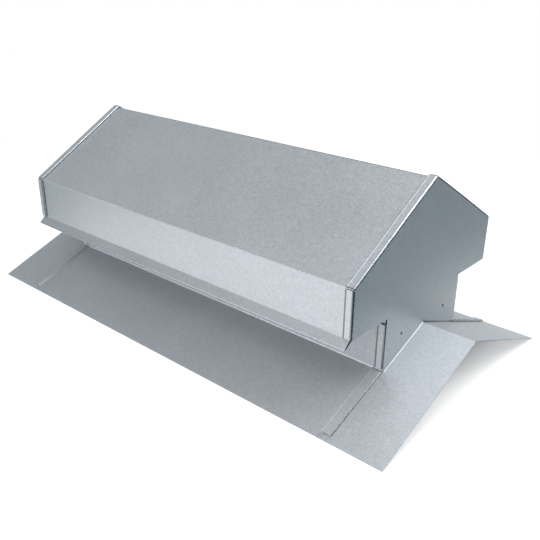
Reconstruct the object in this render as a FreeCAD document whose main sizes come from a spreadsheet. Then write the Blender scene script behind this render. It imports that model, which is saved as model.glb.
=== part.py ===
"""Galvanised sheet-steel ridge vent: a gabled hood over a throat with a pitched base flange.

Millimetres, +Z up. X runs along the ridge, Y across it, and the origin is midway between the two
lower long edges of the base flange, at the level of the surface that those edges stand on.
"""
import FreeCAD
import Part
import Sketcher

import math
import os
from enum import IntEnum

SIZES = {
    "hood_length": 610,
    "hood_width": 313,
    "ridge_height": 267,
    "roof_angle": 30,
    "fascia_height": 61.5,
    "lip_length": 14,
    "lip_angle": 46,
    "hem_length": 15,
    "hem_angle": 10,
    "front_lip_setback": 3.5,
    "back_lip_setback": 16,
    "throat_width": 172,
    "baffle_rise": 35,
    "end_flange": 74,
    "side_flange": 109,
    "base_angle": 21.5,
    "sheet": 0.7,
    "bend_radius": 2.2,
    "fold_gap": 0.25,
    "seam_width": 12.2,
    "base_seam_width": 12.2,
    "base_seam_setback": 8,
    "seam_relief": 0.8,
    "bend_notch": 0.4,
    "strip_setback": 8,
    "slit": 1.5,
    "hole_diameter": 4,
    "hole_spacing": 102,
    "hole_rise": 82,
}
LAP = 0.5
RIGHT_ANGLE = 90
LOCK_LAYERS = 3


class EdgePoint(IntEnum):
    """How a sketch numbers the two ends and the centre of an edge."""

    START = 1
    END = 2
    CENTRE = 3


SKETCH_ORIGIN = (-1, EdgePoint.START)

doc = FreeCAD.newDocument("ridge_vent")
sheet = doc.addObject("Spreadsheet::Sheet", "sizes")
for row, (alias, number) in enumerate(SIZES.items(), start=1):
    sheet.set(f"A{row}", alias)
    sheet.set(f"B{row}", str(number))
    sheet.setAlias(f"B{row}", alias)
doc.recompute()


class Size:
    """A measure held twice: its number now and its formula on the sheet."""

    def __init__(self, number, formula=None):
        self.number = float(number)
        self.formula = formula or repr(self.number)

    @staticmethod
    def of(other):
        return other if isinstance(other, Size) else Size(other)

    def __add__(self, other):
        other = Size.of(other)
        return Size(self.number + other.number, f"({self.formula} + {other.formula})")

    def __sub__(self, other):
        other = Size.of(other)
        return Size(self.number - other.number, f"({self.formula} - {other.formula})")

    def __mul__(self, other):
        other = Size.of(other)
        return Size(self.number * other.number, f"({self.formula} * {other.formula})")

    def __truediv__(self, other):
        other = Size.of(other)
        return Size(self.number / other.number, f"({self.formula} / {other.formula})")

    def __neg__(self):
        return Size(-self.number, f"(-1 * {self.formula})")

    def __rmul__(self, other):
        return Size.of(other) * self


def measure(alias):
    return Size(sheet.get(alias), f"sizes.{alias}")


def sine(angle):
    return Size(math.sin(math.radians(angle.number)), f"sin({angle.formula})")


def cosine(angle):
    return Size(math.cos(math.radians(angle.number)), f"cos({angle.formula})")


def tangent(angle):
    return Size(math.tan(math.radians(angle.number)), f"tan({angle.formula})")


ZERO = Size(0)
UPRIGHT = Size(RIGHT_ANGLE)

gauge = measure("sheet")
gap = measure("fold_gap")
bend = measure("bend_radius")
slit = measure("slit")
relief = measure("seam_relief")
notch = measure("bend_notch")
roof_angle = measure("roof_angle")
base_angle = measure("base_angle")
seam = measure("seam_width")
base_seam = measure("base_seam_width")

end_x = measure("hood_length") / 2
flange_x = end_x + measure("end_flange")
hood_y = measure("hood_width") / 2
throat_y = measure("throat_width") / 2
base_y = throat_y + measure("side_flange")

ridge_z = measure("ridge_height")
eave_z = ridge_z - hood_y * tangent(roof_angle)
fascia_z = eave_z - measure("fascia_height")
baffle_z = fascia_z + measure("baffle_rise")
edge_z = gauge * cosine(base_angle)
throat_z = edge_z + measure("side_flange") * tangent(base_angle)
peak_z = edge_z + base_y * tangent(base_angle)
fascia_foot_z = fascia_z + relief
strip_foot_z = throat_z + relief
strip_top_z = fascia_z - measure("strip_setback")

# A closed lock has three layers over the sheet that it lies on. A fold is a half turn round one layer,
# and the corner that the end plate turns is as round as the lock is thick.
fold_in = gauge / 2 + gap
fold_out = fold_in + gauge
lock_top = LOCK_LAYERS * (gauge + gap)
lock_under = lock_top - gauge
corner = lock_under - gap
edge_turn = gauge + corner
base_turn = fold_out + 2 * gap
base_far = base_seam + slit + LAP
base_heel = throat_y / cosine(base_angle) + gap
base_lock_start = (throat_y + lock_top + relief) / cosine(base_angle)
base_end = base_y / cosine(base_angle)
base_lock_end = base_end - measure("base_seam_setback")


def line_or_arc(start, end, centre):
    """The edge from start to end, straight or about a centre, and whether it runs the way it is drawn."""
    a = FreeCAD.Vector(start[0].number, start[1].number, 0)
    b = FreeCAD.Vector(end[0].number, end[1].number, 0)
    if centre is None:
        return Part.LineSegment(a, b), True
    c = FreeCAD.Vector(centre[0].number, centre[1].number, 0)
    first = math.atan2(a.y - c.y, a.x - c.x)
    last = math.atan2(b.y - c.y, b.x - c.x)
    anticlockwise = centre[2]
    if not anticlockwise:
        first, last = last, first
    if last <= first:
        last += 2 * math.pi
    circle = Part.Circle(c, FreeCAD.Vector(0, 0, 1), (a - c).Length)
    return Part.ArcOfCircle(circle, first, last), anticlockwise


def bind(sketch, kind, geometry, point, value):
    """Hold a point of the sketch at a distance from its origin that the sheet gives."""
    index = sketch.addConstraint(Sketcher.Constraint(kind, *SKETCH_ORIGIN, geometry, point, value.number))
    sketch.setExpression(f"Constraints[{index}]", value.formula)


def draw(sketch, outline):
    """Draw a closed outline of (x, y, centre) corners, every corner and arc's centre bound to the sheet.

    A centre is that of the arc from its corner to the next, with True where the arc turns anticlockwise.
    """
    turned_on = outline[1:] + outline[:1]
    edges = []
    for start, end in zip(outline, turned_on):
        shape, forward = line_or_arc(start, end, start[2])
        number = sketch.addGeometry(shape, False)
        ends = (EdgePoint.START, EdgePoint.END)
        edges.append((number, *(ends if forward else ends[::-1])))
    for start, end, (number, head, tail), after in zip(outline, turned_on, edges, edges[1:] + edges[:1]):
        sketch.addConstraint(Sketcher.Constraint("Coincident", number, tail, after[0], after[1]))
        bind(sketch, "DistanceX", number, head, start[0])
        bind(sketch, "DistanceY", number, head, start[1])
        if start[2] is not None:
            tall = abs((end[1] - start[1]).number) >= abs((end[0] - start[0]).number)
            kind, place = ("DistanceX", start[2][0]) if tall else ("DistanceY", start[2][1])
            bind(sketch, kind, number, EdgePoint.CENTRE, place)


def plane_of(body, role):
    return next(item for item in body.Origin.OriginFeatures if item.Role == role)


def new_sketch(body, name, role, offset=None, tilt=None):
    """A sketch on one of the body's own planes, moved off it and tilted about its own X axis."""
    sketch = body.newObject("Sketcher::SketchObject", name)
    sketch.AttachmentSupport = [(plane_of(body, role), "")]
    sketch.MapMode = "FlatFace"
    place = [value.number for value in offset] if offset else [0, 0, 0]
    turn = FreeCAD.Rotation(FreeCAD.Vector(1, 0, 0), tilt.number if tilt else 0)
    sketch.AttachmentOffset = FreeCAD.Placement(FreeCAD.Vector(*place), turn)
    if offset:
        for axis, value in zip("xyz", offset):
            sketch.setExpression(f"AttachmentOffset.Base.{axis}", value.formula)
    if tilt:
        sketch.setExpression("AttachmentOffset.Rotation.Angle", tilt.formula)
    return sketch


def slope_sketch(body, name, height, angle, distance):
    """A sketch square to a front slope, at a distance down the slope from the height of its ridge."""
    offset = (ZERO, height - distance * sine(angle), distance * cosine(angle))
    return new_sketch(body, name, "XZ_Plane", offset, angle)


def base_sketch(body, name, distance):
    return slope_sketch(body, name, peak_z, base_angle, distance)


def level_sketch(body, name, height):
    return new_sketch(body, name, "XY_Plane", (ZERO, ZERO, height))


def cross_sketch(body, name, place):
    return new_sketch(body, name, "YZ_Plane", (ZERO, ZERO, place))


def pad(body, name, sketch, length, both_ways=False):
    feature = body.newObject("PartDesign::Pad", name)
    feature.Profile = sketch
    feature.Length = length.number
    feature.setExpression("Length", length.formula)
    if both_ways:
        feature.SideType = "Symmetric"
    doc.recompute()
    return feature


def mirror(body, name, feature, role):
    copy = body.newObject("PartDesign::Mirrored", name)
    copy.Originals = [feature]
    copy.MirrorPlane = (plane_of(body, role), [""])
    body.Tip = copy
    doc.recompute()


def gable_lock(body, name, outline, end):
    """Lay a lock layer along the fascias and roof slopes at one end, in legs that part at the bends."""

    def at_fascia(along, over):
        return end * (end_x - along), -hood_y - over

    def at_roof(along, over):
        return end * (end_x - along), over

    section = level_sketch(body, f"{name}_fascia_section", fascia_foot_z)
    draw(section, placed(outline, at_fascia))
    rise = pad(body, f"{name}_fascia", section, eave_z - fascia_foot_z - notch)
    mirror(body, f"{name}_fascia_pair", rise, "XZ_Plane")
    section = slope_sketch(body, f"{name}_roof_section", ridge_z, roof_angle, notch)
    draw(section, placed(outline, at_roof))
    slope = pad(body, f"{name}_roof", section, hood_y / cosine(roof_angle) - 2 * notch)
    mirror(body, f"{name}_roof_pair", slope, "XZ_Plane")


def bent(points, ways):
    """Outline of a sheet bent along points on its outer face, its thickness to the right of travel.

    Each point has the direction of the leg that comes in and of the leg that goes out.
    """
    face = []
    back = []
    for (x, y), (into, out) in zip(points, ways):
        if into is None or out is None:
            leg = out if into is None else into
            face.append((x, y, None))
            back.append((x + gauge * sine(leg), y - gauge * cosine(leg), None))
            continue
        right = out.number < into.number
        radius = bend if right else bend - gauge
        half = (into - out) / 2 if right else (out - into) / 2
        side = 1 if right else -1
        reach = radius * tangent(half)
        first = (x - reach * cosine(into), y - reach * sine(into))
        last = (x + reach * cosine(out), y + reach * sine(out))
        centre = (first[0] + side * radius * sine(into), first[1] - side * radius * cosine(into))
        face.append((first[0], first[1], (centre[0], centre[1], not right)))
        face.append((last[0], last[1], None))
        back.append((first[0] + gauge * sine(into), first[1] - gauge * cosine(into), None))
        inner = (last[0] + gauge * sine(out), last[1] - gauge * cosine(out))
        back.append((inner[0], inner[1], (centre[0], centre[1], right)))
    return face + back[::-1]


def gable_line():
    """The hood's outer face across the ridge, from fascia foot to fascia foot."""
    return [
        (-hood_y, fascia_z, None),
        (-hood_y, eave_z, None),
        (ZERO, ridge_z, None),
        (hood_y, eave_z, None),
        (hood_y, fascia_z, None),
    ]


def turned_back(turn, length, far, opening=ZERO):
    """A sheet from far that turns back over itself and runs on for a length, flat or opening by an angle.

    Coordinates are the distance along the sheet and the height over it.
    """

    def on_leg(radius, along):
        return (
            turn + along * cosine(opening) - radius * sine(opening),
            fold_in + along * sine(opening) + radius * cosine(opening),
        )

    return [
        (far, -gauge, None),
        (turn, -gauge, (turn, fold_in, False)),
        (*on_leg(fold_out, ZERO), None),
        (*on_leg(fold_out, length), None),
        (*on_leg(fold_in, length), None),
        (*on_leg(fold_in, ZERO), (turn, fold_in, True)),
        (turn, ZERO, None),
        (far, ZERO, None),
    ]


def tongue(turn, tip, far):
    """Lock layer that is wrapped: the sheet from far turns back flat over itself and ends at tip."""
    return turned_back(turn, tip - turn, far)


def cover(way_in, way_back, width, end):
    """Lock layer that wraps a tongue: in along the top, round the fold at width and back under to end."""
    turn = width - fold_out
    middle = fold_out + gap
    return way_in + [
        (turn, lock_top, (turn, middle, False)),
        (turn, gap, None),
        (end, gap, None),
        (end, gap + gauge, None),
        (turn, gap + gauge, (turn, middle, True)),
        (turn, lock_under, None),
    ] + way_back


def plate_cover():
    """The end plate's lock layer: the plate turns the corner and wraps the tongue."""
    way_in = [
        (ZERO, gap - LAP, None),
        (ZERO, gap, (edge_turn, gap, False)),
        (edge_turn, lock_top, None),
    ]
    way_back = [
        (edge_turn, lock_under, (edge_turn, gap, True)),
        (gauge, gap, None),
        (gauge, gap - LAP, None),
    ]
    return cover(way_in, way_back, seam, edge_turn + gap)


def flange_cover():
    """The base flange's lock layer: the flange steps up at half a right angle and wraps the tongue."""
    step = lock_top
    ease = gauge * tangent(UPRIGHT / 4)
    way_in = [
        (-step - LAP, -gauge, None),
        (-step - LAP, ZERO, None),
        (-step, ZERO, None),
        (ZERO, lock_top, None),
    ]
    way_back = [
        (ease, lock_under, None),
        (ease - step, -gauge, None),
    ]
    return cover(way_in, way_back, base_seam, base_turn + gap)


def placed(outline, point_at):
    """The outline moved to where it lies in its sketch; an arc turns the other way where that mirrors it."""
    x0, y0 = point_at(ZERO, ZERO)
    x1, y1 = point_at(Size(1), ZERO)
    x2, y2 = point_at(ZERO, Size(1))
    area = (x1 - x0).number * (y2 - y0).number - (x2 - x0).number * (y1 - y0).number
    moved = []
    for x, y, centre in outline:
        place = point_at(x, y)
        if centre is not None:
            centre = (*point_at(centre[0], centre[1]), centre[2] == (area > 0))
        moved.append((*place, centre))
    return moved


def at_throat(along, over):
    return end_x - along, -throat_y - over


def at_base(along, over):
    return end_x - base_seam + along, over


def edge_tongue():
    return tongue(edge_turn, seam - fold_out, edge_turn + LAP)


def new_body(label):
    body = doc.addObject("PartDesign::Body", label)
    body.Label = label
    return body


def make_hood(label):
    """Hood sheet: two roof slopes, two fascias with drip lips, and a lock tongue along each gable."""
    body = new_body(label)
    section = new_sketch(body, "hood_section", "YZ_Plane")
    ways = [
        (None, UPRIGHT),
        (UPRIGHT, roof_angle),
        (roof_angle, -roof_angle),
        (-roof_angle, -UPRIGHT),
        (-UPRIGHT, None),
    ]
    draw(section, bent([(x, y) for x, y, centre in gable_line()], ways))
    pad(body, "hood_run", section, 2 * (end_x - edge_turn), both_ways=True)

    make_lip(body, "front_lip", -1)
    make_lip(body, "back_lip", 1)
    gable_lock(body, "right_tongue", edge_tongue(), 1)
    gable_lock(body, "left_tongue", edge_tongue(), -1)
    return body


def make_lip(body, name, side):
    """Drip lip under one fascia: kicked outwards, with its edge turned back under it as an open hem."""
    way = UPRIGHT - measure("lip_angle")
    reach = measure("lip_length")

    def at_side(y, z):
        return -side * y, z

    def at_lip(along, over):
        y = -hood_y - (reach - along) * cosine(way) + (over + gauge) * sine(way)
        z = fascia_z - (reach - along) * sine(way) - (over + gauge) * cosine(way)
        return at_side(y, z)

    inner = reach - fold_out
    leg = [
        (-hood_y - inner * cosine(way), fascia_z - inner * sine(way)),
        (-hood_y, fascia_z),
        (-hood_y, fascia_z + bend),
    ]
    run = 2 * (end_x - measure(f"{name}_setback"))
    section = new_sketch(body, f"{name}_section", "YZ_Plane")
    draw(section, placed(bent(leg, [(None, way), (way, UPRIGHT), (UPRIGHT, None)]), at_side))
    pad(body, name, section, run, both_ways=True)
    section = new_sketch(body, f"{name}_hem_section", "YZ_Plane")
    hem = turned_back(fold_out, measure("hem_length"), fold_out + LAP, measure("hem_angle"))
    draw(section, placed(hem, at_lip))
    pad(body, f"{name}_hem", section, run, both_ways=True)


def make_end(label):
    """End plate: gable and throat end in one, with its lock covers and the base flange turned out.

    The flange is bent from the plate on one slope and runs over the ridge as a wing on the other,
    where a slit parts it from the plate.
    """
    body = new_body(label)
    lift = slit / cosine(base_angle)
    section = cross_sketch(body, "plate_section", end_x - gauge)
    draw(section, gable_line() + [
        (throat_y, fascia_z, None),
        (throat_y, throat_z + lift, None),
        (ZERO, peak_z + lift, None),
        (-throat_y, throat_z + lift, None),
        (-throat_y, fascia_z, None),
    ])
    radius = measure("hole_diameter") / 2
    rise = measure("hole_rise")
    half = measure("hole_spacing") / 2
    for y in (-half, half):
        centre = FreeCAD.Vector(y.number, rise.number, 0)
        number = section.addGeometry(Part.Circle(centre, FreeCAD.Vector(0, 0, 1), radius.number), False)
        bind(section, "DistanceX", number, EdgePoint.CENTRE, y)
        bind(section, "DistanceY", number, EdgePoint.CENTRE, rise)
        index = section.addConstraint(Sketcher.Constraint("Radius", number, radius.number))
        section.setExpression(f"Constraints[{index}]", radius.formula)
    pad(body, "plate", section, gauge)

    gable_lock(body, "gable_cover", plate_cover(), 1)

    profile = level_sketch(body, "throat_cover_section", strip_foot_z)
    draw(profile, placed(plate_cover(), at_throat))
    strip = pad(body, "throat_cover", profile, strip_top_z - strip_foot_z)
    mirror(body, "throat_cover_pair", strip, "XZ_Plane")

    near = end_x + slit
    section = cross_sketch(body, "flange_section", near)
    ridge = [(-base_y, edge_z), (ZERO, peak_z), (base_y, edge_z)]
    draw(section, bent(ridge, [(None, base_angle), (base_angle, -base_angle), (-base_angle, None)]))
    pad(body, "flange", section, flange_x - near)

    section = base_sketch(body, "flange_bend_section", ZERO)
    draw(section, [
        (near + LAP, ZERO, None),
        (near, ZERO, (near, slit, False)),
        (end_x, slit, None),
        (end_x, slit + LAP, None),
        (end_x - gauge, slit + LAP, None),
        (end_x - gauge, slit, (near, slit, True)),
        (near, -gauge, None),
        (near + LAP, -gauge, None),
    ])
    pad(body, "flange_bend", section, throat_y / cosine(base_angle))

    section = base_sketch(body, "base_tongue_section", base_lock_start)
    draw(section, placed(tongue(base_turn, base_seam - fold_out, base_far), at_base))
    hook = pad(body, "base_tongue", section, base_lock_end - base_lock_start)
    mirror(body, "base_tongue_pair", hook, "XZ_Plane")

    beside_throat = gap - lock_top
    make_apron(body, "heel", base_turn, base_heel, base_lock_start + LAP)
    make_apron(body, "heel_corner", beside_throat, base_heel, base_lock_start - gap)
    make_apron(body, "toe", base_turn, base_lock_end - LAP, base_end)
    make_apron(body, "toe_corner", beside_throat, base_lock_end + gap, base_end)
    return body


def make_apron(body, name, side, start, end):
    """Flat of the end flange beyond the base locks, from a side beside them out to the flange."""
    section = base_sketch(body, f"{name}_section", start)
    draw(section, placed([
        (side, ZERO, None),
        (base_far, ZERO, None),
        (base_far, -gauge, None),
        (side, -gauge, None),
    ], at_base))
    flat = pad(body, name, section, end - start)
    mirror(body, f"{name}_pair", flat, "XZ_Plane")


def make_throat(label):
    """Throat wall and base flange of one side, bent from one sheet, with its lock layers at both ends."""
    body = new_body(label)
    section = new_sketch(body, "throat_section", "YZ_Plane")
    points = [(-base_y, edge_z), (-throat_y, throat_z), (-throat_y, baffle_z)]
    draw(section, bent(points, [(None, base_angle), (base_angle, UPRIGHT), (UPRIGHT, None)]))
    pad(body, "throat_run", section, 2 * (end_x - base_seam - lock_top), both_ways=True)

    section = new_sketch(body, "wall_section", "YZ_Plane")
    draw(section, [
        (-throat_y, strip_foot_z, None),
        (-throat_y, baffle_z, None),
        (gauge - throat_y, baffle_z, None),
        (gauge - throat_y, strip_foot_z, None),
    ])
    pad(body, "wall_ends", section, 2 * (end_x - edge_turn), both_ways=True)

    profile = level_sketch(body, "wall_tongue_section", strip_foot_z)
    draw(profile, placed(edge_tongue(), at_throat))
    hook = pad(body, "wall_tongue", profile, strip_top_z - strip_foot_z)
    mirror(body, "wall_tongue_pair", hook, "YZ_Plane")

    section = base_sketch(body, "base_cover_section", base_lock_start)
    draw(section, placed(flange_cover(), at_base))
    lock = pad(body, "base_cover", section, base_lock_end - base_lock_start)
    mirror(body, "base_cover_pair", lock, "YZ_Plane")
    return body


def turned(body):
    """The same pattern used again, turned half round about the vertical."""
    half_turn = FreeCAD.Rotation(FreeCAD.Vector(0, 0, 1), 2 * RIGHT_ANGLE)
    body.Placement = FreeCAD.Placement(FreeCAD.Vector(), half_turn)
    return body


pieces = [
    make_hood("hood_sheet"),
    make_end("end_plate_right"),
    turned(make_end("end_plate_left")),
    make_throat("throat_sheet_front"),
    turned(make_throat("throat_sheet_back")),
]
doc.recompute()

for item in doc.Objects:
    if "Invalid" in item.State or "Error" in item.State:
        raise RuntimeError(f"{item.Label} did not build: {item.State}")
for piece in pieces:
    if piece.Shape.isNull() or not piece.Shape.isValid() or len(piece.Shape.Solids) != 1:
        raise RuntimeError(f"{piece.Label} has no valid solid")

os.makedirs("parts", exist_ok=True)
for piece in pieces:
    print(piece.Label, round(piece.Shape.Volume), piece.Shape.BoundBox)
    piece.Shape.exportStep(os.path.join("parts", f"{piece.Label}.step"))
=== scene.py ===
"""Looks of a galvanised ridge vent: five formed sheets, their zinc finish, the studio and the camera.

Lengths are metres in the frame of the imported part: +Z up, X along the ridge, the front at -Y.
"""

import logging
import math
from dataclasses import dataclass
from enum import Enum
from typing import Union

import bmesh
import bpy
from mathutils import Matrix, Vector, noise


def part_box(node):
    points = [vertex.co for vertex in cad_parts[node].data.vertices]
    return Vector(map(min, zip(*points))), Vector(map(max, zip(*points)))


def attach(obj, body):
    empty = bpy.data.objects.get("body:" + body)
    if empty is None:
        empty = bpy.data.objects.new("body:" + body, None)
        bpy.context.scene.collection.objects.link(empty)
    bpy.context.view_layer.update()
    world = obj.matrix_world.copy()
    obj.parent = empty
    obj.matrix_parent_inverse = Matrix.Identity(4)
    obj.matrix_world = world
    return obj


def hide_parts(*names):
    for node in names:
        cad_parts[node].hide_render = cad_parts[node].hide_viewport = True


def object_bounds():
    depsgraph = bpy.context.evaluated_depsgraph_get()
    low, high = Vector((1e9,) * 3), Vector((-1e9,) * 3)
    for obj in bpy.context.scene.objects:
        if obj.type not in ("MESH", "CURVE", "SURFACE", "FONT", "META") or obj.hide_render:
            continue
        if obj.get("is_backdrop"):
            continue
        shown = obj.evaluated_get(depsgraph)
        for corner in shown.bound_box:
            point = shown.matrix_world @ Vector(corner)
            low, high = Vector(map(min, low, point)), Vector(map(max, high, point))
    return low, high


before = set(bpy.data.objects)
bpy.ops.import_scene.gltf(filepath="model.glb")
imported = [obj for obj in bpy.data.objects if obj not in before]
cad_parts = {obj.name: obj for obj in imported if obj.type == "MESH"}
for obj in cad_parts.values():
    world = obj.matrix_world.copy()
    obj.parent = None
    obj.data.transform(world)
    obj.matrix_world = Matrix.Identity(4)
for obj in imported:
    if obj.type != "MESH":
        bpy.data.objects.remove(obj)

MM = 0.001
CHANCE_MIDDLE = 0.5
BODY = "root"
FOLD_LAYER = "fold"
CUT_LAYER = "cut"
PAINTED_LIGHT_LAYER = "painted_light"

log = logging.getLogger("ridge_vent")


class Sheet(Enum):
    """The sheets that the vent is folded from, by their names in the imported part."""

    HOOD = "hood_sheet"
    END_RIGHT = "end_plate_right"
    END_LEFT = "end_plate_left"
    THROAT_FRONT = "throat_sheet_front"
    THROAT_BACK = "throat_sheet_back"


class Facing(Enum):
    """The ways that a card of the studio can face."""

    UP = (0, 0, 1)
    DOWN = (0, 0, -1)
    FRONT = (0, -1, 0)
    RIGHT = (1, 0, 0)
    LEFT = (-1, 0, 0)


class Value:
    """A number that changes over a surface: a socket whose arithmetic adds Math nodes."""

    def __init__(self, shader: "Shader", socket: bpy.types.NodeSocket) -> None:
        """Wrap a socket of a shader's tree."""
        self.shader = shader
        self.socket = socket

    def join(self, operation: str, first: "Input", second: "Input") -> "Value":
        """Add one Math node.

        Args:
            operation: The Math node's operation.
            first: Its first number.
            second: Its second number.

        Returns:
            The node's result.
        """
        made = self.shader.node("ShaderNodeMath", {"operation": operation}, {0: first, 1: second})
        return Value(self.shader, made.outputs[0])

    def __add__(self, other: "Input") -> "Value":
        """This number plus another."""
        return self.join("ADD", self, other)

    def __radd__(self, other: "Input") -> "Value":
        """Another number plus this one."""
        return self.join("ADD", other, self)

    def __sub__(self, other: "Input") -> "Value":
        """This number less another."""
        return self.join("SUBTRACT", self, other)

    def __rsub__(self, other: "Input") -> "Value":
        """Another number less this one."""
        return self.join("SUBTRACT", other, self)

    def __mul__(self, other: "Input") -> "Value":
        """This number times another."""
        return self.join("MULTIPLY", self, other)

    def __rmul__(self, other: "Input") -> "Value":
        """Another number times this one."""
        return self.join("MULTIPLY", other, self)

    def peak(self, other: "Input") -> "Value":
        """The larger of this number and another."""
        return self.join("MAXIMUM", self, other)


Input = Union[float, tuple, bpy.types.NodeSocket, Value]


class Shader:
    """A node tree, and the few kinds of node that fill it."""

    def __init__(self, tree: bpy.types.NodeTree) -> None:
        """Take over a tree and empty it."""
        self.tree = tree
        tree.nodes.clear()

    def node(
        self,
        kind: str,
        settings: dict[str, object],
        sockets: dict[Union[str, int], Input],
    ) -> bpy.types.Node:
        """Add a node.

        Args:
            kind: The node's type.
            settings: Its own settings, which are set first.
            sockets: A number, colour or link for each input, by the input's name or place.

        Returns:
            The new node.
        """
        made = self.tree.nodes.new(kind)
        for name, setting in settings.items():
            setattr(made, name, setting)
        for name, given in sockets.items():
            source = given.socket if isinstance(given, Value) else given
            if isinstance(source, bpy.types.NodeSocket):
                self.tree.links.new(source, made.inputs[name])
            else:
                made.inputs[name].default_value = source
        return made

    def value(self, socket: bpy.types.NodeSocket) -> Value:
        """A socket as a number to reckon with."""
        return Value(self, socket)

    def attribute(self, layer: str) -> Value:
        """The number that each face of a sheet holds in one of its layers."""
        made = self.node("ShaderNodeAttribute", {"attribute_name": layer}, {})
        return self.value(made.outputs["Fac"])

    def mix(self, share: Input, first: Input, second: Input) -> bpy.types.NodeSocket:
        """Mix two colours.

        Args:
            share: How much of the second colour there is.
            first: The colour at a share of 0.
            second: The colour at a share of 1.

        Returns:
            The mixed colour.
        """
        # A Mix node's sockets share their names among its data types, so its colours go by their places.
        made = self.node("ShaderNodeMix", {"data_type": "RGBA"}, {0: share, 6: first, 7: second})
        return made.outputs[2]

    def vector(self, operation: str, sockets: dict[Union[str, int], Input]) -> bpy.types.NodeSocket:
        """Add one Vector Math node.

        Args:
            operation: The node's operation.
            sockets: Its inputs.

        Returns:
            The resulting vector.
        """
        return self.node("ShaderNodeVectorMath", {"operation": operation}, sockets).outputs["Vector"]

    def looked_at(self) -> Value:
        """1 where the camera sees a surface, straight, mirrored or through glass, and 0 to other rays.

        Returns:
            The mask.
        """
        path = self.node("ShaderNodeLightPath", {}, {})
        rays = ("Is Camera Ray", "Is Glossy Ray", "Is Transmission Ray")
        straight, mirrored, through = (self.value(path.outputs[ray]) for ray in rays)
        return straight.peak(mirrored).peak(through)

    def ramp(self, given: Input, start: float, end: float) -> Value:
        """Step softly from 0 to 1.

        Args:
            given: The number that the step follows.
            start: Where the step leaves 0.
            end: Where it reaches 1.

        Returns:
            The step.
        """
        sockets = {"Value": given, "From Min": start, "From Max": end}
        made = self.node("ShaderNodeMapRange", {"interpolation_type": "SMOOTHSTEP"}, sockets)
        return self.value(made.outputs["Result"])

    def matt(self, colour: Input, roughness: float) -> bpy.types.NodeSocket:
        """Make a plain painted surface.

        Args:
            colour: The paint's colour.
            roughness: How matt it is.

        Returns:
            The surface.
        """
        sockets = {"Base Color": colour, "Roughness": roughness}
        return self.node("ShaderNodeBsdfPrincipled", {}, sockets).outputs["BSDF"]


def new_finish(name: str) -> tuple[bpy.types.Material, Shader]:
    """Start a material.

    Args:
        name: The finish's name.

    Returns:
        The material, and its empty node tree to fill.
    """
    material = bpy.data.materials.new(name)
    material.use_nodes = True
    return material, Shader(material.node_tree)


def new_object(name: str, data: bpy.types.ID) -> bpy.types.Object:
    """Add an object to the scene.

    Args:
        name: The object's name.
        data: Its mesh, lamp or lens.

    Returns:
        The object, at the origin.
    """
    made = bpy.data.objects.new(name, data)
    bpy.context.scene.collection.objects.link(made)
    return made


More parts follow.
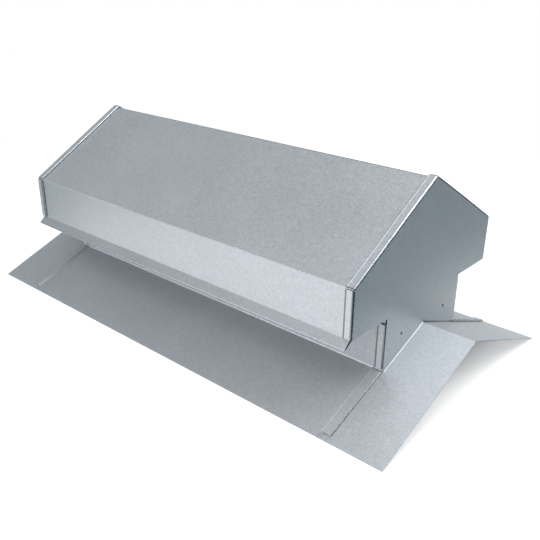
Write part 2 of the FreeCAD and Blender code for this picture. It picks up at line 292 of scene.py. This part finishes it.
@dataclass(frozen=True)
class ZincCoat:
    """Hot-dip zinc on sheet steel: small spangles, each with its own tone and tilt, clouded by handling, with
    painted highlight and painted shade along its seams, slits and drip lips.
    """

    name: str = "zinc_coat"
    colour: tuple = (0.455, 0.485, 0.515, 1.0)
    core: tuple = (0.21, 0.21, 0.215, 1.0)
    metal: float = 0.57
    roughness: float = 0.46
    spangle: float = 2.0 * MM
    spangle_stray: float = 1.0 * MM
    frost: float = 1.3 * MM
    frost_detail: float = 2.0
    cloud: float = 90 * MM
    cloud_detail: float = 1.0
    spangle_contrast: float = 0.13
    spangle_gloss: float = 0.13
    frost_contrast: float = 0.18
    cloud_contrast: float = 0.06
    cloud_gloss: float = 0.06
    spangle_tilt: float = 0.035
    painted_light_contrast: float = 0.6
    fold_metal: float = 0.97
    fold_roughness: float = 0.27
    grain_depth: float = 0.02 * MM
    grain_strength: float = 0.35

    def pattern(self, shader: Shader, place: bpy.types.NodeSocket, size: float, detail: float) -> Value:
        """Add a soft noise.

        Args:
            shader: The tree to add to.
            place: The coordinates to read.
            size: The length of one mottle.
            detail: How many finer layers it has.

        Returns:
            The noise, about 0 on average.
        """
        sockets = {"Vector": place, "Scale": 1 / size, "Detail": detail}
        made = shader.node("ShaderNodeTexNoise", {}, sockets)
        return shader.value(made.outputs["Fac"]) - CHANCE_MIDDLE

    def build(self) -> bpy.types.Material:
        """Make the material.

        Returns:
            The finish of every sheet.
        """
        material, shader = new_finish(self.name)
        place = shader.node("ShaderNodeTexCoord", {}, {}).outputs["Object"]

        drift = shader.node("ShaderNodeTexNoise", {}, {"Vector": place, "Scale": 1 / self.spangle})
        stray = (self.spangle_stray,) * 3
        strayed = shader.vector("MULTIPLY_ADD", {0: drift.outputs["Color"], 1: stray, 2: place})
        cells = shader.node("ShaderNodeTexVoronoi", {}, {"Vector": strayed, "Scale": 1 / self.spangle})
        chance = shader.node("ShaderNodeSeparateXYZ", {}, {0: cells.outputs["Color"]})
        tone_chance = shader.value(chance.outputs["X"]) - CHANCE_MIDDLE
        gloss_chance = shader.value(chance.outputs["Y"]) - CHANCE_MIDDLE

        frost = self.pattern(shader, place, self.frost, self.frost_detail)
        cloud = self.pattern(shader, place, self.cloud, self.cloud_detail)
        fold, cut, painted_light = (shader.attribute(layer) for layer in (FOLD_LAYER, CUT_LAYER, PAINTED_LIGHT_LAYER))

        tone = 1 + tone_chance * self.spangle_contrast + frost * self.frost_contrast
        tone = tone + cloud * self.cloud_contrast
        # Painted highlight and painted shade: the per-face layer lightens the zinc's colour on some seam
        # edges, and darkens it on others and in slits, hems and lips.
        tone = tone * (1 + painted_light * self.painted_light_contrast)
        zinc = shader.vector("SCALE", {0: self.colour[:3], "Scale": tone})
        colour = shader.mix(cut, zinc, self.core)
        metal = self.metal + fold * (self.fold_metal - self.metal)
        roughness = self.roughness + gloss_chance * self.spangle_gloss + cloud * self.cloud_gloss
        roughness = roughness + fold * (self.fold_roughness - self.roughness)

        facing = shader.node("ShaderNodeNewGeometry", {}, {}).outputs["Normal"]
        lean = shader.vector("SUBTRACT", {0: cells.outputs["Color"], 1: (CHANCE_MIDDLE,) * 3})
        tilted = shader.vector("MULTIPLY_ADD", {0: lean, 1: (self.spangle_tilt,) * 3, 2: facing})
        level = shader.vector("NORMALIZE", {0: tilted})
        bump = shader.node("ShaderNodeBump", {}, {
            "Strength": self.grain_strength,
            "Distance": self.grain_depth,
            "Height": frost,
            "Normal": level,
        })
        steel = shader.node("ShaderNodeBsdfPrincipled", {}, {
            "Base Color": colour,
            "Metallic": metal,
            "Roughness": roughness,
            "Normal": bump.outputs["Normal"],
        })
        shader.node("ShaderNodeOutputMaterial", {}, {"Surface": steel.outputs["BSDF"]})
        return material


@dataclass(frozen=True)
class HandForming:
    """How far the real sheets stray from true: one smooth field for all of them, so that no lock opens."""

    low: Vector
    high: Vector
    ripple_depth: float = 0.35 * MM
    ripple_length: float = 120 * MM
    room: float = 6 * MM
    seed: int = 1

    def __post_init__(self) -> None:
        """Seed the noise, so that every run forms the sheets alike."""
        noise.seed_set(self.seed)

    def moved(self, place: Vector) -> Vector:
        """Where a point of the true shape lies on the hand-formed one, which stays in the true one's box.

        Args:
            place: The point on the true shape.

        Returns:
            The point on the formed shape.
        """
        ripple = noise.noise_vector(place / self.ripple_length) * self.ripple_depth
        for axis in range(3):
            inside = min(place[axis] - self.low[axis], self.high[axis] - place[axis])
            ripple[axis] *= min(1.0, max(0.0, inside / self.room))
        return place + ripple


@dataclass(frozen=True)
class EdgeLightPaint:
    """Where painted highlight (above 0) and painted shade (below 0) lie on the zinc: seams, slits and drip
    lips.
    """

    end: float
    rim: float
    pitch: float = math.radians(21.5)
    seam_width: float = 12.2 * MM
    seam_edge: float = 2.8 * MM
    corner: float = 2.6 * MM
    base_fold: float = 1.4 * MM
    # Width of the painted shadow on the plate's foot, in the slit along one slope
    slit_band: float = 2.4 * MM
    foot_height: float = 44.4 * MM
    foot_room: float = 4 * MM
    hem_height: float = 106.4 * MM
    hem_drop: float = 1.6 * MM
    lip_root: float = 114.6 * MM
    eave_height: float = 180 * MM
    # Parts of a face's direction along one axis, which tell what the face belongs to
    upright: float = 0.1
    flat: float = 0.99
    lip_slope: float = 0.62
    lip_turn: float = 0.6
    flange_slope: float = 0.92
    # How much painted highlight or painted shade each kind of edge gets, and how much burnish the bends at a
    # plate's foot keep
    foot_burnish: float = 0.4
    bright: float = 1.0
    dark: float = -1.0
    corner_shade: float = -0.9
    base_fold_shade: float = -0.6
    seam_step_shade: float = -0.3
    hem_shade: float = -1.5
    lip_shade: float = -0.25

    def cuts(self) -> list[tuple[Vector, Vector]]:
        """The planes that part the bands of painted highlight and painted shade on an end plate from its
        flats.

        Returns:
            A point and a direction for each plane.
        """
        across = self.end - self.seam_width + self.seam_edge
        planes = [(Vector((side * across, 0.0, 0.0)), Vector((1.0, 0.0, 0.0))) for side in (-1, 1)]
        for side in (-1, 1):
            square = Vector((0.0, side * math.sin(self.pitch), math.cos(self.pitch)))
            planes.append((Vector((0.0, side * self.rim, 0.0)) + square * self.slit_band, square))
        return planes

    def above_base(self, centre: Vector) -> float:
        """How high a point is above the slopes that the base stands on."""
        return centre.z * math.cos(self.pitch) + (abs(centre.y) - self.rim) * math.sin(self.pitch)

    def burnish(self, sheet: Sheet, centre: Vector, normal: Vector) -> float:
        """How bright a bend is burnished: the hood's long bends and the throat's feet stay dull.

        Args:
            sheet: The sheet that the bend is in.
            centre: The middle of a face of the bend.
            normal: The face's direction.

        Returns:
            The share of the full burnish.
        """
        if sheet is Sheet.HOOD:
            return 0.0 if self.hem_height < centre.z < self.eave_height else 1.0
        if sheet in (Sheet.THROAT_FRONT, Sheet.THROAT_BACK):
            return 0.0 if self.in_foot(centre, normal) else 1.0
        return self.foot_burnish if self.above_base(centre) < self.foot_room else 1.0

    def plate(self, centre: Vector, normal: Vector) -> float:
        """The painted light of an end plate: highlight on its seams' inner edges that lie flat, and shade on
        the upright ones, on its corners and in the slit at its foot.

        Args:
            centre: The middle of a face.
            normal: The face's direction.

        Returns:
            The face's painted highlight (above 0) or painted shade (below 0).
        """
        inner = self.end - self.seam_width
        along = abs(centre.x)
        lying = normal.z > self.upright
        height = self.above_base(centre)
        if abs(normal.x) > self.flat:
            # Painted shadow in the slit at the plate's foot, on one slope
            return self.dark if height < self.slit_band and centre.x * centre.y > 0 else 0.0
        if centre.z < self.foot_height or height < self.foot_room or along > self.end:
            return 0.0
        # Painted highlight on the seams' inner edges where they lie flat, painted shade on the upright ones
        if inner <= along < inner + self.seam_edge:
            return self.bright if lying else self.dark
        # Painted shade along the plate's outer corners
        if along > self.end - self.corner and (not lying or normal.y > 0):
            return self.corner_shade
        return 0.0

    def in_foot(self, centre: Vector, normal: Vector) -> bool:
        """Whether a face lies in the bend between a throat wall and its flange.

        Args:
            centre: The middle of the face.
            normal: The face's direction.

        Returns:
            Whether it does.
        """
        turned = abs(normal.x) < self.upright and self.upright < normal.z < self.flange_slope
        return turned and abs(centre.z - self.foot_height) < self.foot_room

    def throat(self, centre: Vector, normal: Vector) -> float:
        """The painted light of a throat sheet: highlight on the bend at its foot, and highlight or shade on
        the two edges of its base seams.

        Args:
            centre: The middle of a face.
            normal: The face's direction.

        Returns:
            The face's painted highlight (above 0) or painted shade (below 0).
        """
        if centre.z > self.foot_height or normal.z < self.upright:
            return 0.0
        # Painted highlight on the bend at the throat's foot
        if self.in_foot(centre, normal):
            return self.bright
        # Painted shade along the fold at the outer edge of each base seam
        if abs(centre.x) > self.end - self.base_fold:
            return self.base_fold_shade
        # Painted highlight on the seam ramps that face one way, painted shade on those that face the other
        if abs(normal.x) > self.upright:
            return self.bright if centre.x * centre.y < 0 else self.seam_step_shade
        return 0.0

    def hood(self, centre: Vector, normal: Vector) -> float:
        """The painted light of the hood: a little painted shade on its drip lips outside, and deep painted
        shade inside their hems.

        Args:
            centre: The middle of a face.
            normal: The face's direction.

        Returns:
            The face's painted shade (below 0).
        """
        in_lip = self.hem_height - self.hem_drop < centre.z < self.lip_root
        if not in_lip or abs(normal.z) < self.lip_turn:
            return 0.0
        # Painted shade: deep inside the open hems, slight on the lips' outer faces
        upper_layer = abs(normal.y) > self.lip_slope
        in_hem = upper_layer == (normal.z < 0)
        return self.hem_shade if in_hem else self.lip_shade


@dataclass
class FormedSheet:
    """One sheet of the vent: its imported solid, cut into a fine net, formed by hand and coated with zinc."""

    sheet: Sheet
    forming: HandForming
    edge_light: EdgeLightPaint
    net: float = 16 * MM
    weld: float = 0.01 * MM
    snap: float = 0.001 * MM
    flat_turn: float = math.radians(0.3)
    sharp_turn: float = math.radians(40)
    thin: float = 1.1 * MM

    def build(self) -> bpy.types.Object:
        """Make the formed sheet as an object of its own.

        Returns:
            The new object, at the origin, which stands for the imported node.
        """
        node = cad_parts[self.sheet.value]
        net = bmesh.new()
        net.from_mesh(node.data)
        bmesh.ops.remove_doubles(net, verts=net.verts, dist=self.weld)
        bmesh.ops.dissolve_limit(net, angle_limit=self.flat_turn, verts=net.verts, edges=net.edges)
        self.mark(net)
        self.cut_net(net)
        self.mark_painted_light(net)
        for vertex in net.verts:
            vertex.co = self.forming.moved(vertex.co)
        mesh = bpy.data.meshes.new(f"{self.sheet.value}_formed")
        net.to_mesh(mesh)
        net.free()
        made = new_object(mesh.name, mesh)
        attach(made, BODY)
        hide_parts(self.sheet.value)
        return made

    def mark(self, net: bmesh.types.BMesh) -> None:
        """Mark the folds and the cut edges of the sheet, and the edges that stay sharp.

        Args:
            net: The sheet's mesh, with one face for each flat.
        """
        fold = net.faces.layers.float.new(FOLD_LAYER)
        cut = net.faces.layers.float.new(CUT_LAYER)
        for edge in net.edges:
            edge.smooth = edge.calc_face_angle(0.0) < self.sharp_turn
        for face in net.faces:
            face.smooth = True
            longest = max(face.edges, key=lambda edge: edge.calc_length())
            width = face.calc_area() / longest.calc_length()
            if width > self.thin:
                continue
            if longest.smooth:
                face[fold] = 1.0
            else:
                face[cut] = 1.0

    def mark_painted_light(self, net: bmesh.types.BMesh) -> None:
        """Mark how much painted highlight or painted shade each face gets, and dull the bends that aren't
        burnished.

        Args:
            net: The sheet's mesh, cut into its net.
        """
        painted_light = net.faces.layers.float.new(PAINTED_LIGHT_LAYER)
        fold = net.faces.layers.float[FOLD_LAYER]
        if self.sheet in (Sheet.END_RIGHT, Sheet.END_LEFT):
            painted_light_of = self.edge_light.plate
            for place, square in self.edge_light.cuts():
                self.split(net, place, square)
        elif self.sheet is Sheet.HOOD:
            painted_light_of = self.edge_light.hood
        else:
            painted_light_of = self.edge_light.throat
        for face in net.faces:
            centre = face.calc_center_median()
            face[painted_light] = painted_light_of(centre, face.normal)
            face[fold] *= self.edge_light.burnish(self.sheet, centre, face.normal)

    def split(self, net: bmesh.types.BMesh, place: Vector, square: Vector) -> None:
        """Cut every face of the sheet along one plane.

        Args:
            net: The sheet's mesh.
            place: A point of the plane.
            square: The direction square to it.
        """
        whole = [*net.verts, *net.edges, *net.faces]
        bmesh.ops.bisect_plane(net, geom=whole, dist=self.snap, plane_co=place, plane_no=square)

    def cut_net(self, net: bmesh.types.BMesh) -> None:
        """Cut the sheet along even planes square to each axis, so that its flats can bend.

        Args:
            net: The sheet's mesh.
        """
        low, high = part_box(self.sheet.value)
        for axis in range(3):
            square = Vector([float(axis == place) for place in range(3)])
            count = math.floor((high[axis] - low[axis]) / self.net)
            for step in range(1, count + 1):
                start = low + square * (step * (high[axis] - low[axis]) / (count + 1))
                self.split(net, start, square)

    def dress(self, made: bpy.types.Object, coat: bpy.types.Material) -> None:
        """Coat the sheet and even out its shading.

        Args:
            made: The formed sheet.
            coat: Its finish.
        """
        made.data.materials.append(coat)
        shading = made.modifiers.new("even_shading", "WEIGHTED_NORMAL")
        shading.keep_sharp = True


@dataclass(frozen=True)
class CardPaint:
    """The matt paint of the dark cards."""

    name: str = "card_paint"
    colour: tuple = (0.03, 0.1, 0.125, 1.0)
    roughness: float = 0.9

    def build(self) -> bpy.types.Material:
        """Make the material.

        Returns:
            The paint.
        """
        material, shader = new_finish(self.name)
        matt = shader.matt(self.colour, self.roughness)
        shader.node("ShaderNodeOutputMaterial", {}, {"Surface": matt})
        return material


@dataclass(frozen=True)
class WhiteSweep:
    """A white floor that takes the vent's shadow, and fades to plain white away from it."""

    name: str = "white_sweep"
    colour: tuple = (0.8, 0.8, 0.8, 1.0)
    bounce: tuple = (0.18, 0.205, 0.22, 1.0)
    roughness: float = 0.9
    glow: float = 0.4
    covered: tuple = (0.28, 0.12)
    edge: float = 0.08
    fade_start: float = 0.55
    fade_end: float = 1.3

    def build(self) -> bpy.types.Material:
        """Make the material.

        Returns:
            The floor's finish.
        """
        material, shader = new_finish(self.name)
        seen = shader.looked_at()
        place = shader.node("ShaderNodeTexCoord", {}, {}).outputs["Object"]
        sides = shader.node("ShaderNodeSeparateXYZ", {}, {0: shader.vector("ABSOLUTE", {0: place})})
        # Painted shade under the vent: the glow is kept off the floor there, so that it stays darker
        past_end, past_front = (shader.value(sides.outputs[axis]) - self.covered[axis] for axis in range(2))
        open_floor = shader.ramp(past_end.peak(past_front), 0.0, self.edge)
        matt = shader.matt(shader.mix(seen, self.bounce, self.colour), self.roughness)
        light = shader.node("ShaderNodeEmission", {}, {"Strength": open_floor * seen * self.glow})
        near = shader.node("ShaderNodeAddShader", {}, {0: matt, 1: light.outputs["Emission"]})
        white = shader.node("ShaderNodeEmission", {}, {"Strength": 1.0})

        away = shader.node("ShaderNodeVectorMath", {"operation": "LENGTH"}, {0: place}).outputs["Value"]
        share = shader.ramp(away, self.fade_start, self.fade_end) * seen
        both = shader.node("ShaderNodeMixShader", {}, {0: share, 1: near.outputs[0], 2: white.outputs[0]})
        shader.node("ShaderNodeOutputMaterial", {}, {"Surface": both.outputs["Shader"]})
        return material


@dataclass(frozen=True)
class Flag:
    """A dark card beside the set, which the zinc reflects and the camera doesn't see."""

    name: str
    centre: tuple
    facing: Facing
    width: float
    height: float


@dataclass(frozen=True)
class SoftLamp:
    """A large square lamp that is aimed at the middle of the vent, and may show in the zinc or not."""

    name: str
    place: tuple
    side: float
    power: float
    mirrored: bool = True

    def build(self, aim: Vector) -> bpy.types.Object:
        """Hang the lamp.

        Args:
            aim: The point that it faces.

        Returns:
            The lamp.
        """
        light = bpy.data.lights.new(self.name, "AREA")
        light.size = self.side
        light.energy = self.power
        lamp = new_object(self.name, light)
        lamp.visible_glossy = self.mirrored
        lamp.location = self.place
        lamp.rotation_euler = (aim - Vector(self.place)).to_track_quat("-Z", "Y").to_euler()
        return lamp


@dataclass(frozen=True)
class Studio:
    """A white floor and sky, soft lamps, and dark cards that the zinc can show."""

    floor_reach: float = 30.0
    floor_drop: float = 0.2 * MM
    flag_lift: float = 3 * MM
    flags: tuple = (
        Flag("flag_floor_right", (1.72, 0.0, flag_lift), Facing.UP, width=2.6, height=4.0),
        Flag("flag_right", (2.0, 0.3, 0.6), Facing.LEFT, width=3.4, height=1.2),
        Flag("flag_floor_back", (0.0, 1.2, flag_lift), Facing.UP, width=0.7, height=1.2),
        Flag("flag_back", (0.2, 1.8, 0.3), Facing.FRONT, width=2.6, height=0.6),
        Flag("flag_floor_left", (-1.1, -0.65, flag_lift), Facing.UP, width=1.2, height=0.8),
        Flag("flag_left", (-1.6, -0.5, 1.25), Facing.RIGHT, width=1.8, height=1.5),
        Flag("flag_high_left", (-1.6, 1.1, 1.6), Facing.RIGHT, width=1.4, height=0.8),
        Flag("flag_over_left", (-0.95, 0.2, 2.0), Facing.DOWN, width=1.3, height=3.2),
    )
    sky_soft: float = 0.45
    lamps: tuple = (
        SoftLamp("top_lamp", (0.3, 0.3, 1.9), side=1.8, power=3.0),
        SoftLamp("back_lamp", (0.86, 0.72, 1.5), side=1.3, power=19.0),
        SoftLamp("front_lamp", (0.25, -1.5, 0.6), side=0.9, power=7.0),
        SoftLamp("high_lamp", (0.2, -1.45, 1.4), side=1.6, power=28.5, mirrored=False),
    )
    lamp_aim: Vector = Vector((0.0, 0.0, 0.12))

    def plane(self, name: str, width: float, height: float, paint: bpy.types.Material) -> bpy.types.Object:
        """Make a level stage plane at the origin.

        Args:
            name: The object's name.
            width: Its size along X.
            height: Its size along Y.
            paint: Its material.

        Returns:
            The plane.
        """
        net = bmesh.new()
        bmesh.ops.create_grid(net, x_segments=1, y_segments=1, size=1.0)
        bmesh.ops.scale(net, vec=(width / 2, height / 2, 1.0), verts=net.verts)
        mesh = bpy.data.meshes.new(name)
        net.to_mesh(mesh)
        net.free()
        mesh.materials.append(paint)
        made = new_object(name, mesh)
        made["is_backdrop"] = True
        return made

    def build_floor(self) -> bpy.types.Object:
        """Lay the floor just under the vent.

        Returns:
            The floor.
        """
        floor = self.plane("floor", self.floor_reach, self.floor_reach, WhiteSweep().build())
        floor.location.z = -self.floor_drop
        return floor

    def build_flags(self) -> list[bpy.types.Object]:
        """Set the dark flags up.

        Returns:
            The flags.
        """
        paint = CardPaint().build()
        made = []
        for flag in self.flags:
            card = self.plane(flag.name, flag.width, flag.height, paint)
            card.location = flag.centre
            card.rotation_euler = Vector(flag.facing.value).to_track_quat("Z", "Y").to_euler()
            card.visible_camera = False
            card.visible_diffuse = False
            card.visible_shadow = False
            made.append(card)
        return made

    def build_lamps(self) -> list[bpy.types.Object]:
        """Hang the soft lamps.

        Returns:
            The lamps.
        """
        return [lamp.build(self.lamp_aim) for lamp in self.lamps]

    def build_sky(self) -> bpy.types.World:
        """Make the sky: white to the camera and in reflections, and a little softer as light.

        Returns:
            The world.
        """
        world = bpy.data.worlds.new("studio_sky")
        world.use_nodes = True
        shader = Shader(world.node_tree)
        strength = self.sky_soft + shader.looked_at() * (1 - self.sky_soft)
        sky = shader.node("ShaderNodeBackground", {}, {"Color": (1, 1, 1, 1), "Strength": strength})
        shader.node("ShaderNodeOutputWorld", {}, {"Surface": sky.outputs["Background"]})
        bpy.context.scene.world = world
        return world


@dataclass(frozen=True)
class PhotoCamera:
    """The camera of the photograph, from a fit of the vent's corners to it."""

    azimuth: float = math.radians(41.362)
    elevation: float = math.radians(24.003)
    roll: float = math.radians(0.454)
    focus: float = 711.44
    frame_side: float = 540.0
    film: float = 36.0
    reach: float = 1070.55 * MM
    aim_height: float = 122 * MM
    aside: float = -33.86 * MM
    above: float = 58.67 * MM
    clip_near: float = 0.01
    clip_far: float = 100.0

    def build(self) -> bpy.types.Object:
        """Set the camera up as the scene's own.

        Returns:
            The camera.
        """
        level = math.cos(self.elevation)
        back = Vector((
            math.sin(self.azimuth) * level,
            -math.cos(self.azimuth) * level,
            math.sin(self.elevation),
        ))
        right = Vector((math.cos(self.azimuth), math.sin(self.azimuth), 0.0))
        right = Matrix.Rotation(self.roll, 3, back) @ right
        upward = back.cross(right)
        lens = bpy.data.cameras.new("photo_camera")
        lens.sensor_width = self.film
        lens.lens = self.focus / self.frame_side * self.film
        lens.clip_start = self.clip_near
        lens.clip_end = self.clip_far
        camera = new_object(lens.name, lens)
        aim = Vector((0.0, 0.0, self.aim_height))
        place = aim + back * self.reach - right * self.aside - upward * self.above
        axes = Matrix((right, upward, back)).transposed().to_4x4()
        camera.matrix_world = Matrix.Translation(place) @ axes
        bpy.context.scene.camera = camera
        return camera


def main() -> None:
    """Build the sheets, the studio and the camera, from two boxes of the imported part."""
    logging.basicConfig(level=logging.INFO, format="%(name)s: %(message)s")
    packed_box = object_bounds()
    coat = ZincCoat().build()
    forming = HandForming(*packed_box)
    throat_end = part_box(Sheet.THROAT_FRONT.value)[1]
    edge_light = EdgeLightPaint(throat_end.x, packed_box[1].y)
    for sheet in Sheet:
        formed = FormedSheet(sheet, forming, edge_light)
        made = formed.build()
        formed.dress(made, coat)
        log.info("%s: %d faces", made.name, len(made.data.polygons))
    studio = Studio()
    for part in (studio.build_floor(), *studio.build_flags(), *studio.build_lamps(), studio.build_sky()):
        log.info("%s is up", part.name)
    PhotoCamera().build()
    bpy.context.scene.view_settings.view_transform = "Standard"


if __name__ == "__main__":
    main()
